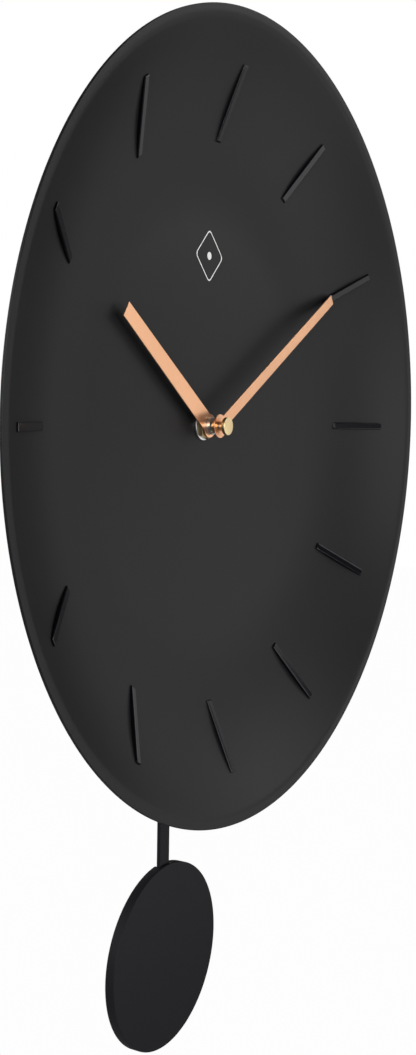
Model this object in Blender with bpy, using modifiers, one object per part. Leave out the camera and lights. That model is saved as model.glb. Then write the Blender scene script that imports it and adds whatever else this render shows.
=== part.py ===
"""Pendulum wall clock: a dished black metal dial with twelve raised bars, flat copper-coloured
hands, a quartz movement behind the dial and a disc pendulum that swings below it.

The frame: X to the right, Z up and Y into the wall. The origin is on the back face of the
movement, where it meets the wall, on the axis of the hands. Run in Blender 4.5.
"""

import math

import bmesh
import bpy

MM = 0.001
GAP = 0.3 * MM  # clearance between solids that touch or turn in each other
ROUND_STEPS = 24  # sides of a small round piece

# Dial: a sheet dish whose depth falls away from its flat middle towards the rim
WALL_TO_RIM = 50 * MM
DIAL_RADIUS = 150 * MM
DIAL_DEPTH = 24.6 * MM
FLAT_RADIUS = 75 * MM  # the dish is flat inside this radius
BEND_END = 140 * MM  # it bends forward up to this radius, then runs straight to the lip
LIP_RADIUS, LIP_DEPTH = 146.5 * MM, 0.4 * MM
DIAL_SHEET = 1.2 * MM
DIAL_STEPS = 64
BEND_STEPS = 7

# Hour bars: a straight front over a base that follows the dish
MARKER_COUNT = 12
MARKER_INNER = (106.4 * MM, 19.2 * MM)  # radius, depth behind the rim
MARKER_OUTER = (133.2 * MM, 7.6 * MM)
MARKER_WIDTH = 3.0 * MM
MARKER_CHAMFER = 0.3 * MM
MARKER_BASE_POINTS = 5

# Hands and the pieces that hold them, as depths behind the rim
HAND_SHEET = 0.5 * MM
HAND_BOSS_RADIUS = 4.5 * MM
HOUR_HAND = {
    "length": 70.5 * MM, "base": 7.2 * MM, "tip": 5.9 * MM, "depth": 21.1 * MM, "clock_deg": 305.0,
}
MINUTE_HAND = {
    "length": 110.5 * MM, "base": 4.7 * MM, "tip": 4.3 * MM, "depth": 16.5 * MM, "clock_deg": 60.0,
}
FERRULE_RADIUS = 3.3 * MM
FERRULE_FRONT, FERRULE_BACK = 19.5 * MM, 21.8 * MM
HAND_BUSH_RADIUS = 2.6 * MM
HAND_BUSH_FRONT, HAND_BUSH_BACK = 17.3 * MM, 19.2 * MM
CAP_RADIUS, CAP_NECK_RADIUS = 3.4 * MM, 1.9 * MM
CAP_FRONT, CAP_HEAD_BACK, CAP_BACK = 12.9 * MM, 14.3 * MM, 16.2 * MM
CAP_BORE_END = 14.7 * MM
ARBOR_RADIUS, ARBOR_TIP_RADIUS = 1.5 * MM, 1.0 * MM
ARBOR_SHOULDER, ARBOR_END = 16.8 * MM, 15.0 * MM
PIPE_RADIUS, PIPE_FRONT = 2.5 * MM, 20.4 * MM
BUSH_RADIUS, BUSH_FRONT = 3.5 * MM, 22.15 * MM
NUT_ACROSS_FLATS = 9.2 * MM
NUT_FRONT, NUT_BACK = 21.95 * MM, 23.5 * MM
WASHER_RADIUS, WASHER_THICKNESS = 5.6 * MM, 0.5 * MM
RUBBER_RADIUS, RUBBER_THICKNESS = 11 * MM, 4.2 * MM

# Movement case
CASE_HALF_WIDTH = 29.5 * MM
CASE_TOP, CASE_BOTTOM = 34.5 * MM, -46 * MM
CASE_FRONT = -19.4 * MM
CASE_WALL = 1.4 * MM
CASE_CORNER = 3 * MM
COVER_SHEET = 1.2 * MM
PARTITION = (16.0 * MM, 17.4 * MM)  # between the wheels and the battery
INNER_FRONT = CASE_FRONT + CASE_WALL
BORE_DEPTH = 0.8 * MM
SCREW_PLACES = (
    (-25.2 * MM, 13.0 * MM), (25.2 * MM, -12.0 * MM), (-25.2 * MM, -41.6 * MM), (25.2 * MM, -41.6 * MM),
)
BOSS_RADIUS, SCREW_RADIUS, SCREW_HEAD_RADIUS = 2.4 * MM, 0.9 * MM, 2.0 * MM
SCREW_LENGTH = 8 * MM
POST_PLACES = ((-15 * MM, 9.8 * MM), (-15 * MM, -9.8 * MM), (16 * MM, -8.2 * MM), (6.5 * MM, 11.5 * MM))
POST_RADIUS, PEG_RADIUS = 1.5 * MM, 0.8 * MM
PLATE_FRONT, PLATE_BACK = -3.4 * MM, -2.6 * MM

# Wheel train, each stage with its module: motion work, centre to third, third to seconds,
# seconds to fifth, fifth to rotor
MOTION_MODULE = 0.5 * MM
CANNON_TEETH, INTERMEDIATE_TEETH, INTERMEDIATE_PINION, HOUR_TEETH = 10, 30, 8, 32
CENTRE_TEETH, THIRD_PINION, THIRD_TEETH, SECONDS_PINION = 64, 8, 60, 8
SECONDS_TEETH, FIFTH_PINION, FIFTH_TEETH, ROTOR_PINION = 60, 10, 50, 10
CENTRE_MODULE = 0.28 * MM
SECONDS_MODULE = 0.30 * MM
ROTOR_MODULE = 0.28 * MM
STAFF_RADIUS = 0.6 * MM
KNOB_RADIUS, KNOB_SHAFT_RADIUS = 5 * MM, 1.5 * MM
KNOB_BACK, KNOB_THICKNESS, KNOB_GRIPS = -0.3 * MM, 2 * MM, 12
KNOB_DIRECTION = math.radians(-30)

# Motor
MAGNET_RADIUS = 3.0 * MM
STATOR_FRONT, STATOR_BACK = -5.7 * MM, -4.7 * MM
COIL_RADIUS, COIL_BAR_HEIGHT = 2.4 * MM, 12.8 * MM

# Battery, an AA cell lying across the top of the case
BATTERY_RADIUS, BATTERY_HEIGHT, BATTERY_Y = 7.1 * MM, 25.2 * MM, -8.7 * MM
BATTERY_LEFT, BATTERY_RIGHT, BATTERY_NUB = -25.2 * MM, 24.3 * MM, 1.1 * MM

# Pendulum
PIVOT_HEIGHT = -26 * MM
PIVOT_RADIUS = 0.8 * MM
ARM_FRONT, ARM_BACK = -9.0 * MM, -6.0 * MM
ARM_WIDTH, ARM_END = 7 * MM, -56.5 * MM
HUB_RADIUS, HUB_FRONT, HUB_BACK = 3.2 * MM, -12.5 * MM, -5.8 * MM
PEG_HEIGHT = -53.2 * MM
ROD_FRONT, ROD_BACK = -11.05 * MM, -9.4 * MM
ROD_WIDTH, ROD_TOP, ROD_BOTTOM = 6.8 * MM, -50 * MM, -222 * MM
BOB_HEIGHT, BOB_RADIUS = -213.3 * MM, 37.5 * MM
BOB_FRONT, BOB_BACK = -12.7 * MM, -8.6 * MM
BOB_SHEET = 0.8 * MM
BOB_STEPS = 48
DRIVE_HEIGHT = -37.2 * MM

# Hanger
HANGER_SHEET = 1.0 * MM
HANGER_TOP = 50 * MM
HANGER_HALF_WIDTH = 14 * MM
SLOT_HALF_WIDTH, SLOT_LOW, SLOT_HIGH = 8 * MM, 39.5 * MM, 45.0 * MM
RIVET_PLACES = (-9.5 * MM, 9.5 * MM)
RIVET_Y = -8 * MM
RIVET_HOLE_RADIUS = 1.3 * MM


# ---------------------------------------------------------------- scene and materials


def clear_scene():
    for obj in list(bpy.data.objects):
        bpy.data.objects.remove(obj, do_unlink=True)


def new_collection(name):
    collection = bpy.data.collections.new(name)
    bpy.context.scene.collection.children.link(collection)
    return collection


def finish_of(name, colour, roughness, metallic):
    """A Principled material of one colour."""
    material = bpy.data.materials.new(name)
    material.use_nodes = True
    shader = material.node_tree.nodes["Principled BSDF"]
    shader.inputs["Base Color"].default_value = (*colour, 1)
    shader.inputs["Roughness"].default_value = roughness
    shader.inputs["Metallic"].default_value = metallic
    material.diffuse_color = (*colour, 1)
    return material


clear_scene()
CLOCK = new_collection("pendulum_wall_clock")
CUTTERS = new_collection("cutters")
FINISHES = {
    "satin_black": ((0.030, 0.029, 0.031), 0.45, 0.0),
    "gloss_black": ((0.010, 0.010, 0.012), 0.12, 0.0),
    "matte_black": ((0.020, 0.019, 0.023), 0.60, 0.0),
    "copper": ((0.80, 0.45, 0.26), 0.32, 1.0),
    "brass": ((0.80, 0.60, 0.32), 0.20, 1.0),
    "steel": ((0.62, 0.62, 0.64), 0.25, 1.0),
    "case_plastic": ((0.025, 0.025, 0.027), 0.50, 0.0),
    "wheel_plastic": ((0.80, 0.78, 0.72), 0.45, 0.0),
    "rubber": ((0.020, 0.020, 0.020), 0.80, 0.0),
    "enamelled_wire": ((0.55, 0.20, 0.07), 0.35, 1.0),
    "board_green": ((0.02, 0.16, 0.07), 0.50, 0.0),
    "cell_jacket": ((0.05, 0.06, 0.09), 0.30, 0.0),
    "magnet_grey": ((0.12, 0.12, 0.13), 0.45, 0.6),
}


def add_piece(name, mesh, finish, place, turn=(math.pi / 2, 0, 0)):
    """Adds a named piece. Its local XY plane faces the front and its local Z runs forward."""
    obj = bpy.data.objects.new(name, mesh)
    obj.location = place
    obj.rotation_euler = turn
    if finish is None:
        CUTTERS.objects.link(obj)
        obj.hide_render = True
        obj.display_type = "WIRE"
        return obj
    CLOCK.objects.link(obj)
    mesh.materials.clear()
    mesh.materials.append(finish_of(name, *FINISHES[finish]))
    mesh.shade_smooth()
    mesh.set_sharp_from_angle(angle=math.radians(35))
    return obj


# ---------------------------------------------------------------- outlines


def circle(radius, count=ROUND_STEPS, x=0.0, y=0.0):
    turns = [2 * math.pi * i / count for i in range(count)]
    return [(x + radius * math.cos(a), y + radius * math.sin(a)) for a in turns]


def rounded_box(left, right, low, high, radius, steps=4):
    """A rectangle with round corners, anticlockwise."""
    corners = ((right, high, 0), (left, high, 1), (left, low, 2), (right, low, 3))
    points = []
    for x, y, quarter in corners:
        cx = x - math.copysign(radius, x - (left + right) / 2)
        cy = y - math.copysign(radius, y - (low + high) / 2)
        for i in range(steps + 1):
            angle = math.pi / 2 * (quarter + i / steps)
            points.append((cx + radius * math.cos(angle), cy + radius * math.sin(angle)))
    return points


def gear_outline(teeth, module, phase):
    """Straight-sided teeth with free play. phase is the angle of the first tooth's middle."""
    pitch_radius = teeth * module / 2
    root, tip = pitch_radius - 1.15 * module, pitch_radius + 0.75 * module
    pitch = 2 * math.pi / teeth
    root_half, tip_half = 0.26 * pitch, 0.10 * pitch
    points = []
    for tooth in range(teeth):
        middle = phase + tooth * pitch
        for radius, offset in ((root, -root_half), (tip, -tip_half), (tip, tip_half), (root, root_half)):
            angle = middle + offset
            points.append((radius * math.cos(angle), radius * math.sin(angle)))
    return points


def meshing_phase(driver_teeth, driver_phase, direction, teeth):
    """The phase that sets a gap opposite the driver's tooth, for a gear that lies in direction."""
    past_tooth = (direction - driver_phase) * driver_teeth / (2 * math.pi)
    return direction + math.pi + (past_tooth + 0.5) * 2 * math.pi / teeth


def dial_depth(radius):
    """How far the dish's front surface lies behind the rim."""
    if radius > LIP_RADIUS:
        return LIP_DEPTH * (DIAL_RADIUS - radius) / (DIAL_RADIUS - LIP_RADIUS)
    slope = (DIAL_DEPTH - LIP_DEPTH) / (LIP_RADIUS - (FLAT_RADIUS + BEND_END) / 2)
    if radius > BEND_END:
        return LIP_DEPTH + slope * (LIP_RADIUS - radius)
    past = max(0.0, radius - FLAT_RADIUS)
    return DIAL_DEPTH - slope * past**2 / (2 * (BEND_END - FLAT_RADIUS))


def at_depth(depth):
    """World y of a plane that lies depth behind the rim."""
    return depth - WALL_TO_RIM


# ---------------------------------------------------------------- makers


def plate_mesh(name, loops, thickness):
    """A flat outline with holes, as a solid that runs from local z = 0 forward by thickness."""
    curve = bpy.data.curves.new(name, "CURVE")
    curve.dimensions = "2D"
    curve.fill_mode = "BOTH"
    curve.extrude = thickness / 2
    for loop in loops:
        spline = curve.splines.new("POLY")
        spline.points.add(len(loop) - 1)
        for point, (x, y) in zip(spline.points, loop):
            point.co = (x, y, 0, 1)
        spline.use_cyclic_u = True
    outline = bpy.data.objects.new(name, curve)
    bpy.context.scene.collection.objects.link(outline)
    graph = bpy.context.evaluated_depsgraph_get()
    mesh = bpy.data.meshes.new_from_object(outline.evaluated_get(graph))
    bpy.data.objects.remove(outline)
    shape = bmesh.new()
    shape.from_mesh(mesh)
    bmesh.ops.remove_doubles(shape, verts=shape.verts, dist=1e-7)
    bmesh.ops.recalc_face_normals(shape, faces=shape.faces)
    bmesh.ops.translate(shape, verts=shape.verts, vec=(0, 0, thickness / 2))
    shape.to_mesh(mesh)
    shape.free()
    return mesh


def plate(name, loops, back, front, finish, x=0.0, z=0.0, clock_deg=0.0):
    """A flat piece between the planes y = back and y = front, turned clockwise by clock_deg."""
    mesh = plate_mesh(name, loops, back - front)
    return add_piece(name, mesh, finish, (x, back, z), (math.pi / 2, math.radians(clock_deg), 0))


def turned(name, profile, back, finish, x=0.0, z=0.0, steps=ROUND_STEPS, closed=False, turn=None):
    """A profile of (radius, height forward of back) points turned round its own axis."""
    mesh = bpy.data.meshes.new(name)
    edges = [(i, i + 1) for i in range(len(profile) - 1)]
    if closed:
        edges.append((len(profile) - 1, 0))
    mesh.from_pydata([(radius, 0, height) for radius, height in profile], edges, [])
    obj = add_piece(name, mesh, finish, (x, back, z), turn or (math.pi / 2, 0, 0))
    screw = obj.modifiers.new("turn", "SCREW")
    screw.steps = screw.render_steps = steps
    screw.use_merge_vertices = True
    screw.merge_threshold = 1e-6
    screw.use_smooth_shade = True
    return obj


def pin(name, radius, back, front, finish, **where):
    """A plain round bar between y = back and y = front."""
    length = back - front
    return turned(name, [(0, length), (radius, length), (radius, 0), (0, 0)], back, finish, **where)


def ring(name, outer, inner, back, front, finish, **where):
    """A tube between y = back and y = front."""
    length = back - front
    profile = [(outer, length), (outer, 0), (inner, 0), (inner, length)]
    return turned(name, profile, back, finish, closed=True, **where)


def combine(target, tools, operation):
    for tool in tools:
        boolean = target.modifiers.new(tool.name, "BOOLEAN")
        boolean.operation = operation
        boolean.solver = "EXACT"
        boolean.object = tool


def box_tool(name, x_range, y_range, z_range):
    """A block used to cut or join."""
    (x0, x1), (y0, y1), (z0, z1) = x_range, y_range, z_range
    return plate(name, [[(x0, z0), (x1, z0), (x1, z1), (x0, z1)]], y1, y0, None)


# ---------------------------------------------------------------- dial


def make_dial_dish():
    """The dish, turned from its profile, with the hole for the threaded bush."""
    bend = [FLAT_RADIUS + (BEND_END - FLAT_RADIUS) * i / BEND_STEPS for i in range(BEND_STEPS + 1)]
    radii = [BUSH_RADIUS + GAP, *bend, LIP_RADIUS, DIAL_RADIUS]
    front = [(r, -dial_depth(r)) for r in radii]
    back = [(r, -dial_depth(r) - DIAL_SHEET) for r in radii]
    turned("dial_dish", front + back[::-1], at_depth(0), "satin_black", steps=DIAL_STEPS, closed=True)


def make_hour_marker(number):
    """One bar, drawn at three o'clock in the plane of radius and depth, then turned to its hour."""
    (r_in, d_in), (r_out, d_out) = MARKER_INNER, MARKER_OUTER
    steps = MARKER_BASE_POINTS - 1
    base = [r_in + (r_out - r_in) * i / steps for i in range(MARKER_BASE_POINTS)]
    outline = [(r, at_depth(dial_depth(r) - GAP)) for r in base]
    outline += [(r_out, at_depth(d_out)), (r_in, at_depth(d_in))]
    name = f"hour_marker_{number:02d}"
    mesh = plate_mesh(name, [outline], MARKER_WIDTH)
    shape = bmesh.new()
    shape.from_mesh(mesh)
    bmesh.ops.translate(shape, verts=shape.verts, vec=(0, 0, -MARKER_WIDTH / 2))
    front = {v for v in shape.verts if v.co.y < at_depth(front_depth(v.co.x)) + 1e-5}
    edges = [e for e in shape.edges if set(e.verts) <= front and len(e.link_faces) == 2]
    edges = [e for e in edges if e.calc_face_angle() > 0.5]
    bmesh.ops.bevel(shape, geom=edges, offset=MARKER_CHAMFER, segments=1, affect="EDGES")
    shape.to_mesh(mesh)
    shape.free()
    turn = math.radians(360 / MARKER_COUNT * number - 90)
    add_piece(name, mesh, "gloss_black", (0, 0, 0), (0, turn, 0))


def front_depth(radius):
    """Depth of the bars' straight front at this radius."""
    (r_in, d_in), (r_out, d_out) = MARKER_INNER, MARKER_OUTER
    return d_in + (d_out - d_in) * (radius - r_in) / (r_out - r_in)


def make_dial_fixings():
    """Rubber spacer behind the dish, and steel washer and hexagon nut in front of it."""
    behind = at_depth(DIAL_DEPTH + DIAL_SHEET)
    back = behind + GAP + RUBBER_THICKNESS
    ring("rubber_washer", RUBBER_RADIUS, 5.4 * MM, back, behind + GAP, "rubber")
    front = at_depth(DIAL_DEPTH) - GAP
    ring("dial_washer", WASHER_RADIUS, BUSH_RADIUS + GAP, front, front - WASHER_THICKNESS, "steel")
    corner = NUT_ACROSS_FLATS / math.sqrt(3)
    loops = [circle(corner, 6), circle(BUSH_RADIUS + GAP, 24)]
    plate("dial_nut", loops, at_depth(NUT_BACK), at_depth(NUT_FRONT), "brass", clock_deg=15)


def make_threaded_bush():
    """Tube that passes through case and dish, with a flange that sits on the case."""
    back = INNER_FRONT - 0.1 * MM
    end = back - at_depth(BUSH_FRONT)
    flange_low, flange_high = back - CASE_FRONT + GAP, back - CASE_FRONT + GAP + 0.7 * MM
    inner = PIPE_RADIUS + GAP
    profile = [
        (BUSH_RADIUS - 0.3 * MM, end), (BUSH_RADIUS, end - 0.3 * MM), (BUSH_RADIUS, flange_high),
        (5.0 * MM, flange_high), (5.0 * MM, flange_low), (BUSH_RADIUS, flange_low),
        (BUSH_RADIUS, 0), (inner, 0), (inner, end),
    ]
    turned("threaded_bush", profile, back, "brass", closed=True)


# ---------------------------------------------------------------- hands


def hand_outline(length, base, tip):
    """A straight blade that leaves a round boss, drawn pointing up."""
    meet = math.asin(base / 2 / HAND_BOSS_RADIUS)
    steps = 18
    span = 2 * math.pi - 2 * meet
    angles = [math.pi / 2 + meet + span * i / steps for i in range(steps + 1)]
    boss = [(HAND_BOSS_RADIUS * math.cos(a), HAND_BOSS_RADIUS * math.sin(a)) for a in angles]
    return boss + [(tip / 2, length), (-tip / 2, length)]


def make_hand(name, hand, bore):
    loops = [hand_outline(hand["length"], hand["base"], hand["tip"]), circle(bore, 24)]
    front = at_depth(hand["depth"])
    plate(name, loops, front + HAND_SHEET, front, "copper", clock_deg=hand["clock_deg"])


def make_hand_fittings():
    """Ferrule of the hour hand, bush of the minute hand, and the cap nut on the arbor."""
    inner = PIPE_RADIUS + GAP
    back, front = at_depth(FERRULE_BACK), at_depth(FERRULE_FRONT)
    ring("hour_hand_ferrule", FERRULE_RADIUS, inner, back, front, "steel")
    inner = ARBOR_RADIUS + GAP
    back, front = at_depth(HAND_BUSH_BACK), at_depth(HAND_BUSH_FRONT)
    ring("minute_hand_bush", HAND_BUSH_RADIUS, inner, back, front, "brass")
    top, head = CAP_BACK - CAP_FRONT, CAP_BACK - CAP_HEAD_BACK
    bore = ARBOR_TIP_RADIUS + GAP
    edge = 0.25 * MM
    profile = [
        (0, top), (CAP_RADIUS - edge, top), (CAP_RADIUS, top - edge), (CAP_RADIUS, head),
        (CAP_NECK_RADIUS, head), (CAP_NECK_RADIUS, 0), (bore, 0),
        (bore, CAP_BACK - CAP_BORE_END), (0, CAP_BACK - CAP_BORE_END),
    ]
    turned("hand_cap_nut", profile, at_depth(CAP_BACK), "brass")


# ---------------------------------------------------------------- wheel train

INTERMEDIATE = (0.0, -MOTION_MODULE * (CANNON_TEETH + INTERMEDIATE_TEETH) / 2)
KNOB_REACH = MOTION_MODULE * (INTERMEDIATE_TEETH + CANNON_TEETH) / 2
KNOB = (
    INTERMEDIATE[0] + KNOB_REACH * math.cos(KNOB_DIRECTION),
    INTERMEDIATE[1] + KNOB_REACH * math.sin(KNOB_DIRECTION),
)
THIRD_REACH = CENTRE_MODULE * (CENTRE_TEETH + THIRD_PINION) / 2
THIRD_MODULE = 2 * THIRD_REACH / (THIRD_TEETH + SECONDS_PINION)
THIRD = (-THIRD_REACH, 0.0)
FIFTH = (SECONDS_MODULE * (SECONDS_TEETH + FIFTH_PINION) / 2, 0.0)
ROTOR = (FIFTH[0] + ROTOR_MODULE * (FIFTH_TEETH + ROTOR_PINION) / 2, 0.0)
DOWN, LEFT, RIGHT = -math.pi / 2, math.pi, 0.0


def gear_tool(name, teeth, module, phase, back, front, place, bore=None):
    loops = [gear_outline(teeth, module, phase)]
    if bore:
        loops.append(circle(bore, 24))
    return plate(name, loops, back, front, None, x=place[0], z=place[1])


def make_centre_arbor():
    """Arbor of the minute hand with its centre wheel and cannon pinion."""
    back = -12.3 * MM
    shoulder, end = back - at_depth(ARBOR_SHOULDER), back - at_depth(ARBOR_END)
    pivot, deep = 0.8 * MM, 1.7 * MM
    profile = [
        (0, end), (ARBOR_TIP_RADIUS, end), (ARBOR_TIP_RADIUS, shoulder), (ARBOR_RADIUS, shoulder),
        (ARBOR_RADIUS, 0), (pivot, 0), (pivot, deep), (0, deep),
    ]
    arbor = turned("centre_wheel_arbor", profile, back, "steel", steps=24)
    bore = ARBOR_RADIUS * 0.8  # inside the arbor, so that each gear joins it
    gears = [
        ("cannon_pinion", CANNON_TEETH, MOTION_MODULE, DOWN, -14.9 * MM, -16.2 * MM, (0, 0), bore),
        ("centre_wheel", CENTRE_TEETH, CENTRE_MODULE, LEFT, -13.1 * MM, -13.9 * MM, (0, 0), bore),
    ]
    combine(arbor, [gear_tool(*gear) for gear in gears], "UNION")


def make_hour_wheel():
    """Hour wheel with the pipe that carries the hour hand."""
    front = at_depth(PIPE_FRONT)
    back = -16.6 * MM
    pipe = ring("hour_wheel", PIPE_RADIUS, ARBOR_RADIUS + GAP, back, front, "wheel_plastic", steps=24)
    phase = meshing_phase(INTERMEDIATE_PINION, -DOWN, -DOWN, HOUR_TEETH)
    bore = (PIPE_RADIUS + ARBOR_RADIUS + GAP) / 2
    wheel = gear_tool("hour_gear", HOUR_TEETH, MOTION_MODULE, phase, back - 1e-5, -17.6 * MM, (0, 0), bore)
    combine(pipe, [wheel], "UNION")


def make_staff(name, place, gears, back, front, finish="wheel_plastic"):
    """A staff with gears on it, each (name, teeth, module, phase, back, front)."""
    staff = pin(name, STAFF_RADIUS, back, front, finish, x=place[0], z=place[1], steps=12)
    tools = [gear_tool(*gear, place) for gear in gears]
    combine(staff, tools, "UNION")
    return staff


def make_train():
    front, back = INNER_FRONT - 0.5 * MM, PLATE_BACK - 0.1 * MM
    wheel_phase = meshing_phase(CANNON_TEETH, DOWN, DOWN, INTERMEDIATE_TEETH)
    make_staff("intermediate_wheel", INTERMEDIATE, [
        ("intermediate_gear", INTERMEDIATE_TEETH, MOTION_MODULE, wheel_phase, -15.1 * MM, -16.1 * MM),
        ("intermediate_pinion", INTERMEDIATE_PINION, MOTION_MODULE, -DOWN, -15.9 * MM, -17.7 * MM),
    ], back, front)
    phase = meshing_phase(CENTRE_TEETH, LEFT, LEFT, THIRD_PINION)
    make_staff("third_wheel", THIRD, [
        ("third_pinion", THIRD_PINION, CENTRE_MODULE, phase, -12.7 * MM, -14.3 * MM),
        ("third_gear", THIRD_TEETH, THIRD_MODULE, RIGHT, -11.1 * MM, -11.9 * MM),
    ], back, front)
    phase = meshing_phase(THIRD_TEETH, RIGHT, RIGHT, SECONDS_PINION)
    make_staff("seconds_wheel", (0, 0), [
        ("seconds_pinion", SECONDS_PINION, THIRD_MODULE, phase, -10.7 * MM, -12.0 * MM),
        ("seconds_gear", SECONDS_TEETH, SECONDS_MODULE, RIGHT, -9.1 * MM, -9.9 * MM),
    ], back, -13.6 * MM)
    phase = meshing_phase(SECONDS_TEETH, RIGHT, RIGHT, FIFTH_PINION)
    make_staff("fifth_wheel", FIFTH, [
        ("fifth_pinion", FIFTH_PINION, SECONDS_MODULE, phase, -8.8 * MM, -10.2 * MM),
        ("fifth_gear", FIFTH_TEETH, ROTOR_MODULE, RIGHT, -7.3 * MM, -8.1 * MM),
    ], back, front)
    phase = meshing_phase(FIFTH_TEETH, RIGHT, RIGHT, ROTOR_PINION)
    rotor = make_staff("motor_rotor", ROTOR, [
        ("rotor_pinion", ROTOR_PINION, ROTOR_MODULE, phase, -6.9 * MM, -8.4 * MM),
    ], back, front, "magnet_grey")
    x, z = ROTOR
    magnet = pin("rotor_magnet", MAGNET_RADIUS, -4.0 * MM, -6.4 * MM, None, x=x, z=z, steps=24)
    combine(rotor, [magnet], "UNION")


def make_setting_knob():
    """Knob in the rear cover, with the pinion that turns the intermediate wheel."""
    x, z = KNOB
    shaft_back = KNOB_BACK - KNOB_THICKNESS / 2
    shaft = pin("setting_knob", KNOB_SHAFT_RADIUS, shaft_back, -16.6 * MM, "case_plastic", x=x, z=z, steps=20)
    wheel_phase = meshing_phase(CANNON_TEETH, DOWN, DOWN, INTERMEDIATE_TEETH)
    phase = meshing_phase(INTERMEDIATE_TEETH, wheel_phase, KNOB_DIRECTION, CANNON_TEETH)
    pinion = gear_tool("knob_pinion", CANNON_TEETH, MOTION_MODULE, phase, -14.9 * MM, -16.3 * MM, KNOB)
    grip = []
    for i in range(4 * KNOB_GRIPS):
        angle = 2 * math.pi * i / (4 * KNOB_GRIPS)
        radius = KNOB_RADIUS - (0.4 * MM if i % 4 in (0, 1) else 0)
        grip.append((radius * math.cos(angle), radius * math.sin(angle)))
    disc = plate("knob_disc", [grip], KNOB_BACK, KNOB_BACK - KNOB_THICKNESS, None, x=x, z=z)
    pivot = pin("knob_pivot", 0.8 * MM, -15.5 * MM, INNER_FRONT - 0.5 * MM, None, x=x, z=z, steps=12)
    combine(shaft, [pinion, disc, pivot], "UNION")


def make_bearing_plate():
    """Plate that carries the rear ends of the staffs, staked on the case's posts."""
    outline = [
        (-17.2, -12.0), (18.6, -11.0), (21.6, -3.0), (21.6, 4.0), (12.4, 8.0), (9.2, 13.8), (-17.2, 12.2),
    ]
    loops = [[(x * MM, z * MM) for x, z in outline]]
    for place in ((0, 0), THIRD, FIFTH, ROTOR, INTERMEDIATE):
        loops.append(circle(STAFF_RADIUS + GAP, 12, *place))
    for place in POST_PLACES:
        loops.append(circle(PEG_RADIUS + GAP, 12, *place))
    plate("bearing_plate", loops, PLATE_BACK, PLATE_FRONT, "case_plastic")


# ---------------------------------------------------------------- motor and electronics


def make_motor():
    left, right, low = 12.6 * MM, 25.2 * MM, -4.4 * MM
    bar = 0.8 * MM
    top = COIL_BAR_HEIGHT + bar
    outer = [(left, low), (right, low), (right, top), (left, top)]
    window = rounded_box(left + 1.4 * MM, right - 1.4 * MM, 4.6 * MM, COIL_BAR_HEIGHT - bar, 0.5 * MM, 2)
    hole = circle(MAGNET_RADIUS + 0.5 * MM, ROUND_STEPS, *ROTOR)
    plate("motor_stator", [outer, window, hole], STATOR_BACK, STATOR_FRONT, "steel")
    start, end = left + 1.8 * MM, right - 1.8 * MM
    middle_y = (STATOR_FRONT + STATOR_BACK) / 2
    inner = 1.3 * MM
    length = end - start
    profile = [(COIL_RADIUS, length), (COIL_RADIUS, 0), (inner, 0), (inner, length)]
    turned("motor_coil", profile, middle_y, "enamelled_wire", x=start, z=COIL_BAR_HEIGHT, steps=20,
           closed=True, turn=(0, math.pi / 2, 0))


def make_circuit_board():
    outline = rounded_box(-27.4 * MM, -17.3 * MM, -14 * MM, 9.5 * MM, 0.8 * MM, 2)
    plate("circuit_board", [outline], -5.0 * MM, -6.0 * MM, "board_green")
    profile = [(0, 6.2 * MM), (0.9 * MM, 6.2 * MM), (1.05 * MM, 6.0 * MM), (1.05 * MM, 0), (0, 0)]
    turned("quartz_crystal", profile, -7.4 * MM, "steel", x=-22 * MM, z=-3 * MM, steps=16, turn=(0, 0, 0))


def make_battery():
    """AA cell, its positive end to the right."""
    length = BATTERY_RIGHT - BATTERY_LEFT
    nub, edge = 2.7 * MM, 0.6 * MM
    profile = [
        (0, length + BATTERY_NUB), (nub, length + BATTERY_NUB), (nub, length),
        (BATTERY_RADIUS - edge, length), (BATTERY_RADIUS, length - edge), (BATTERY_RADIUS, edge),
        (BATTERY_RADIUS - edge, 0), (0, 0),
    ]
    lying = (0, math.pi / 2, 0)
    turned("battery", profile, BATTERY_Y, "cell_jacket", x=BATTERY_LEFT, z=BATTERY_HEIGHT, turn=lying)


def make_battery_contacts():
    """A flat contact at the positive end and a bowed leaf at the negative end."""
    half, sheet = 5 * MM, 0.45 * MM
    x, y_low, y_high = 26.0 * MM, -14.5 * MM, -3 * MM
    outline = [(x, y_low), (x + sheet, y_low), (x + sheet, y_high), (x, y_high)]
    mesh = plate_mesh("battery_contact_positive", [outline], 2 * half)
    add_piece("battery_contact_positive", mesh, "steel", (0, 0, BATTERY_HEIGHT - half), (0, 0, 0))
    steps, bow = 8, 1.0 * MM
    parts = [i / steps for i in range(steps + 1)]
    along = [(y_low + (y_high - y_low) * part, math.sin(math.pi * part)) for part in parts]
    inner = [(-27.3 * MM + sheet + bow * rise, y) for y, rise in along]
    outer = [(-27.3 * MM + bow * rise, y) for y, rise in along]
    mesh = plate_mesh("battery_contact_negative", [inner + outer[::-1]], 2 * half)
    add_piece("battery_contact_negative", mesh, "steel", (0, 0, BATTERY_HEIGHT - half), (0, 0, 0))


# ---------------------------------------------------------------- case


def stepped_post(name, x, z):
    """Post inside the case, with a peg at its rear end that the bearing plate fits over."""
    base = INNER_FRONT - 0.2 * MM
    shoulder, end = PLATE_FRONT - GAP - base, PLATE_BACK + 0.2 * MM - base
    profile = [(0, 0), (POST_RADIUS, 0), (POST_RADIUS, -shoulder), (PEG_RADIUS, -shoulder),
               (PEG_RADIUS, -end), (0, -end)]
    return turned(name, profile, base, None, x=x, z=z, steps=12)


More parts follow.
